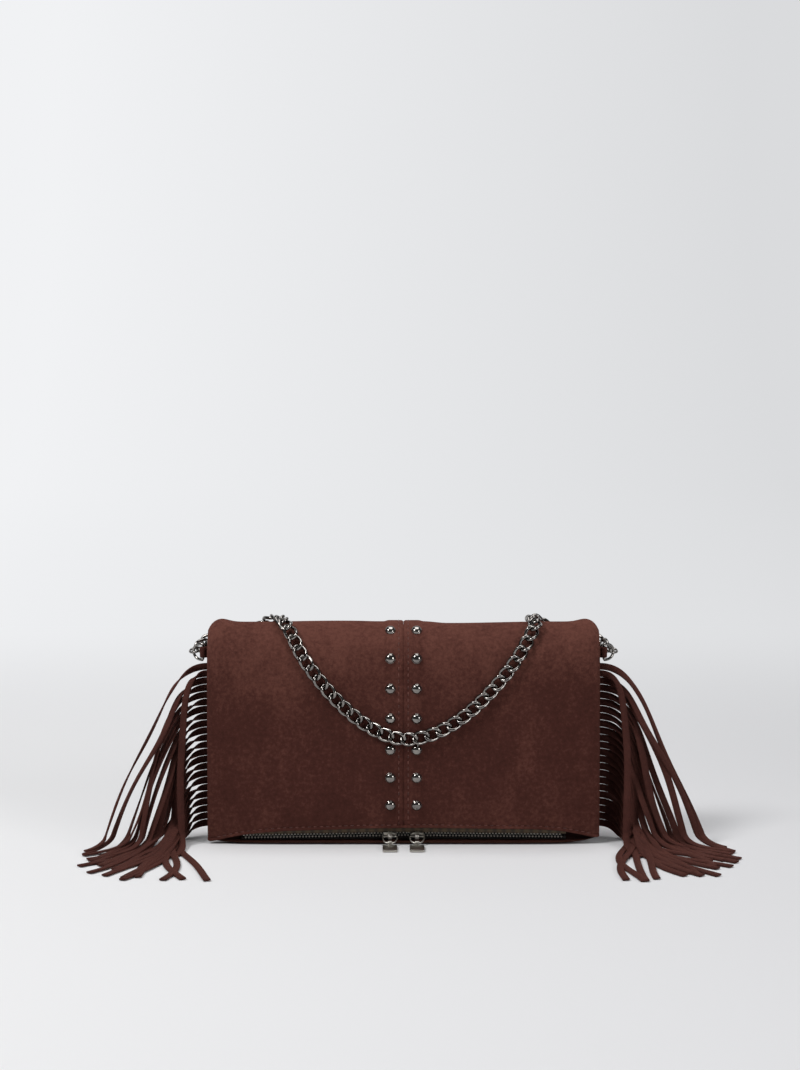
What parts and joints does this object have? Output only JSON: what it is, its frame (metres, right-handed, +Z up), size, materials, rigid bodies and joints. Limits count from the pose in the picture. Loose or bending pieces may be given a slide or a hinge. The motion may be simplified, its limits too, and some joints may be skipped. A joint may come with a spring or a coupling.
{
  "type": "fringed suede fold-over bag",
  "caption": "Soft zipped pouch folded over on itself, with a metal curb chain, domed studs along the centre seam and long cut fringes on the side seams.",
  "frame": {"origin": "centre of the body's flat bottom", "axes": "+X along the width, to the right seen from the front; -Y towards the front flap; +Z up"},
  "size_m": [0.456, 0.1734, 0.1579],
  "materials": {
    "suede": "napped matt suede, dark red-brown",
    "lining": "matt woven lining",
    "tape_front": "woven tape, olive brown in the light",
    "tape_back": "woven tape, nearly black",
    "gunmetal": "polished gunmetal plating",
    "nickel": "dull nickel"
  },
  "bodies": {
    "bag": {"front_panel": "suede", "lining": "lining", "zip_tape_front": "tape_front", "zip_tape_back": "tape_back", "zip_teeth_front": "nickel", "zip_teeth_back": "nickel", "chain": "gunmetal", "back_panel_left": "suede", "fringe_left": "suede", "ring_tab_left": "suede", "d_ring_left": "gunmetal", "jump_ring_left": "gunmetal", "stud_left_1": "gunmetal", "stud_left_2": "gunmetal", "stud_left_3": "gunmetal", "stud_left_4": "gunmetal", "stud_left_5": "gunmetal", "stud_left_6": "gunmetal", "stud_left_7": "gunmetal", "back_panel_right": "suede", "fringe_right": "suede", "ring_tab_right": "suede", "d_ring_right": "gunmetal", "jump_ring_right": "gunmetal", "stud_right_1": "gunmetal", "stud_right_2": "gunmetal", "stud_right_3": "gunmetal", "stud_right_4": "gunmetal", "stud_right_5": "gunmetal", "stud_right_6": "gunmetal", "stud_right_7": "gunmetal"},
    "slider_left": {"slider_left": "nickel"},
    "pull_ring_left": {"pull_ring_left": "nickel"},
    "pull_tab_left": {"pull_tab_left": "nickel"},
    "slider_right": {"slider_right": "nickel"},
    "pull_ring_right": {"pull_ring_right": "nickel"},
    "pull_tab_right": {"pull_tab_right": "nickel"}
  },
  "joints": [
    {"name": "zip_left", "type": "slide", "parent": "bag", "child": "slider_left", "axis": [-0.9999, 0, -0.016], "range_m": [0, 0.09]},
    {"name": "ring_swing_left", "type": "hinge", "parent": "slider_left", "child": "pull_ring_left", "pos_m": [-0.0093, -0.02793, 0.00541], "axis": [1, 0, 0], "range_deg": [-35, 15]},
    {"name": "tab_swing_left", "type": "hinge", "parent": "pull_ring_left", "child": "pull_tab_left", "pos_m": [-0.0093, -0.03524, 0.00216], "axis": [1, 0, 0], "range_deg": [-50, 40]},
    {"name": "zip_right", "type": "slide", "parent": "bag", "child": "slider_right", "axis": [1, 0, -0.01], "range_m": [0, 0.09]},
    {"name": "ring_swing_right", "type": "hinge", "parent": "slider_right", "child": "pull_ring_right", "pos_m": [0.0093, -0.02793, 0.00547], "axis": [1, 0, 0], "range_deg": [-35, 15]},
    {"name": "tab_swing_right", "type": "hinge", "parent": "pull_ring_right", "child": "pull_tab_right", "pos_m": [0.0093, -0.03524, 0.00221], "axis": [1, 0, 0], "range_deg": [-50, 40]}
  ]
}
